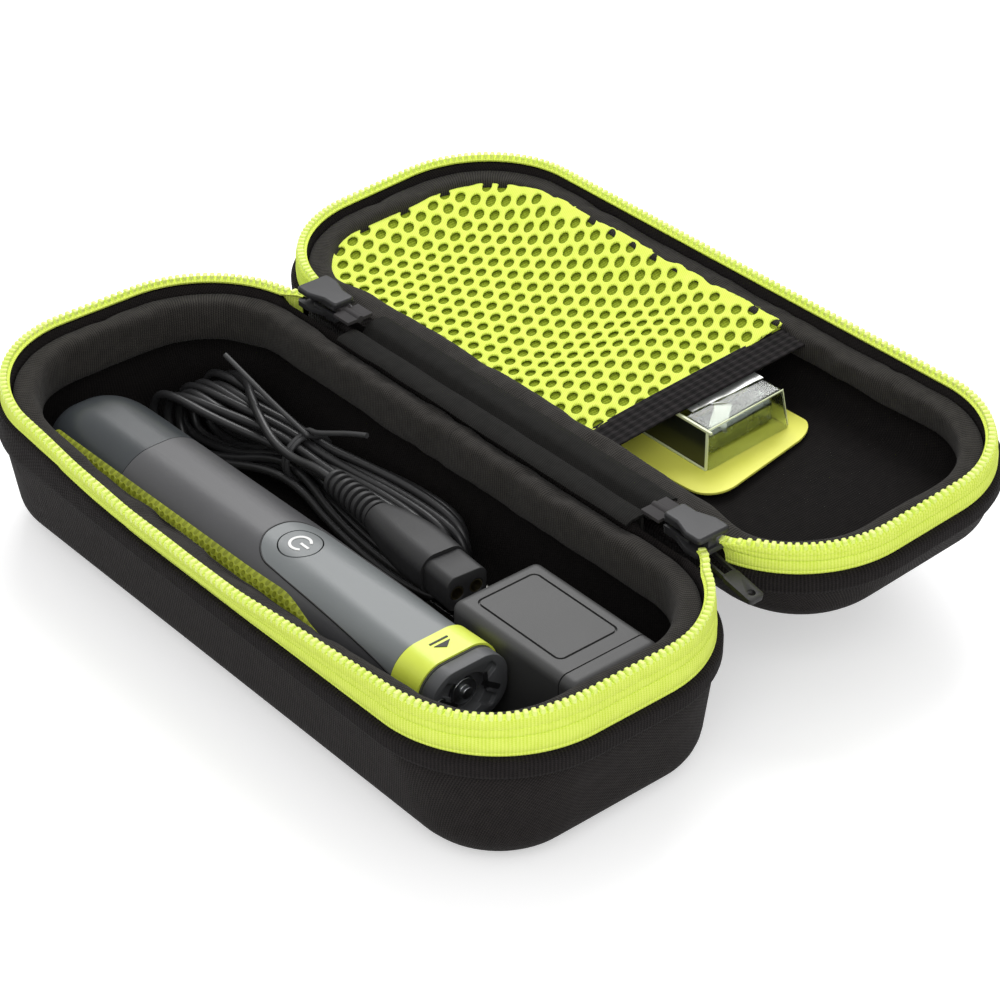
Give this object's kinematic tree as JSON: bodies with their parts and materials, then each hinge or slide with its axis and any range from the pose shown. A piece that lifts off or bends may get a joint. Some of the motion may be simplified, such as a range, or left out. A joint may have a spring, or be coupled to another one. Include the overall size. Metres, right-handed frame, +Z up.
{
  "type": "electric shaver travel case with kit",
  "caption": "Moulded zip-up travel case lying open, with padded rims and a mesh lid pocket, holding a headless electric shaver, its wall charger with a tied lead, and a carded spare blade.",
  "frame": {"origin": "centre of the base's flat underside, on the surface it stands on", "axes": "+X along the case, +Y from the base towards the hinge and the open lid, +Z up"},
  "size_m": [0.21, 0.1826, 0.0504],
  "materials": {
    "shell_fabric": "fine diagonal rib weave over moulded foam board",
    "band_fabric": "plain woven band",
    "lining_fabric": "black knitted lining",
    "rim_fabric": "padded knitted rim",
    "tape_lime": "lime woven zip tape",
    "teeth_lime": "lime moulded teeth",
    "hinge_webbing": "smooth ribbed webbing",
    "mesh_lime": "lime open mesh",
    "elastic_black": "ribbed elastic",
    "card_lime": "printed card, lime",
    "blister_clear": "clear smoky blister",
    "blade_steel": "steel",
    "slider_metal": "dark grey enamel",
    "cap_slate": "slate, satin",
    "grip_lime": "soft lime grip",
    "shell_grey": "satin grey",
    "plate_grey": "lighter satin grey",
    "collar_lime": "satin lime",
    "button_grey": "satin grey",
    "coupling_grey": "matt grey",
    "pin_steel": "bright steel",
    "screw_steel": "bright steel",
    "inner_black": "black moulding",
    "cell_wrap": "wrapped steel can",
    "motor_can": "plain steel can",
    "board_green": "green laminate",
    "charger_black": "charcoal, fine texture",
    "blade_nickel": "nickel plate",
    "core_steel": "laminated core",
    "lead_black": "black sheath",
    "tie_black": "coated wire",
    "connector_black": "black satin",
    "contact_brass": "plated brass"
  },
  "bodies": {
    "base": {"base_shell": "shell_fabric", "base_lip_band": "band_fabric", "base_lining": "lining_fabric", "base_padded_rim": "rim_fabric", "base_zip_tape": "tape_lime", "base_zip_teeth": "teeth_lime", "base_hinge_strip": "hinge_webbing"},
    "lid": {"lid_shell": "shell_fabric", "lid_lip_band": "band_fabric", "lid_lining": "lining_fabric", "lid_padded_rim": "rim_fabric", "lid_zip_tape": "tape_lime", "lid_zip_teeth": "teeth_lime", "lid_hinge_strip": "hinge_webbing", "lid_mesh_pocket": "mesh_lime", "lid_pocket_band": "elastic_black"},
    "zip_end_left": {"zip_end_left": "hinge_webbing"},
    "zip_end_right": {"zip_end_right": "hinge_webbing"},
    "slider_left": {"zip_slider_left": "slider_metal"},
    "slider_right": {"zip_slider_right": "slider_metal"},
    "pull_left": {"zip_pull_left": "slider_metal"},
    "pull_right": {"zip_pull_right": "slider_metal"},
    "shaver": {"shaver_end_cap": "cap_slate", "shaver_back_grip": "grip_lime", "shaver_upper_shell": "shell_grey", "shaver_face_plate": "plate_grey", "shaver_collar": "collar_lime", "coupling_plate": "coupling_grey", "coupling_screw": "screw_steel", "chassis": "inner_black", "battery_cell": "cell_wrap", "shaver_motor": "motor_can", "circuit_board": "board_green"},
    "power_button": {"power_button": "button_grey"},
    "drive_pin": {"drive_pin": "pin_steel"},
    "charger": {"charger_housing": "charger_black", "charger_end_cover": "charger_black", "charger_blades": "blade_nickel", "charger_board": "board_green", "transformer": "core_steel", "lead_gland": "lead_black", "lead_tube_charger": "lead_black", "lead_tube_connector": "lead_black", "lead_hank": "lead_black", "twist_tie": "tie_black", "connector_relief": "lead_black", "connector_body": "connector_black", "connector_nose": "connector_black", "connector_contacts": "contact_brass"},
    "blade_pack": {"blade_card": "card_lime", "blade_blister": "blister_clear", "spare_blade": "blade_steel"}
  },
  "joints": [
    {"name": "lid_hinge", "type": "hinge", "parent": "base", "child": "lid", "pos_m": [0, 0.046, 0.0453], "axis": [1, 0, 0], "range_deg": [-2.5, 176.5]},
    {"name": "zip_end_left_fold", "type": "hinge", "parent": "base", "child": "zip_end_left", "pos_m": [0, 0.046, 0.0453], "axis": [1, 0, 0], "range_deg": [-1.25, 88.25]},
    {"name": "slider_left_run", "type": "slide", "parent": "zip_end_left", "child": "slider_left", "axis": [-1, 0, 0], "range_m": [0, 0.005]},
    {"name": "pull_left_swing", "type": "hinge", "parent": "slider_left", "child": "pull_left", "pos_m": [-0.0638, 0.046, 0.04175], "axis": [0, 1, 0], "range_deg": [0, 12]},
    {"name": "zip_end_right_fold", "type": "hinge", "parent": "base", "child": "zip_end_right", "pos_m": [0, 0.046, 0.0453], "axis": [1, 0, 0], "range_deg": [-1.25, 88.25]},
    {"name": "slider_right_run", "type": "slide", "parent": "zip_end_right", "child": "slider_right", "axis": [1, 0, 0], "range_m": [0, 0.005]},
    {"name": "pull_right_swing", "type": "hinge", "parent": "slider_right", "child": "pull_right", "pos_m": [0.0728, 0.046, 0.04175], "axis": [0, -1, 0], "range_deg": [0, 12]},
    {"name": "shaver_lift", "type": "slide", "parent": "base", "child": "shaver", "axis": [0, 0, -1], "range_m": [-0.06, 0]},
    {"name": "power_button_press", "type": "slide", "parent": "shaver", "child": "power_button", "axis": [0, 0, -1], "range_m": [0, 0.0006], "stiffness_N_per_m": 1500},
    {"name": "drive_pin_sweep", "type": "slide", "parent": "shaver", "child": "drive_pin", "axis": [-0.014, 0.9999, 0], "range_m": [-0.0008, 0.0008]},
    {"name": "charger_lift", "type": "slide", "parent": "base", "child": "charger", "axis": [0, 0, -1], "range_m": [-0.06, 0]},
    {"name": "blade_pack_slide", "type": "slide", "parent": "lid", "child": "blade_pack", "axis": [-1, 0, 0], "range_m": [-0.036, 0]}
  ],
  "couplings": [
    {"joint": "zip_end_left_fold", "follows": "lid_hinge", "ratio": 0.5},
    {"joint": "zip_end_right_fold", "follows": "lid_hinge", "ratio": 0.5}
  ]
}
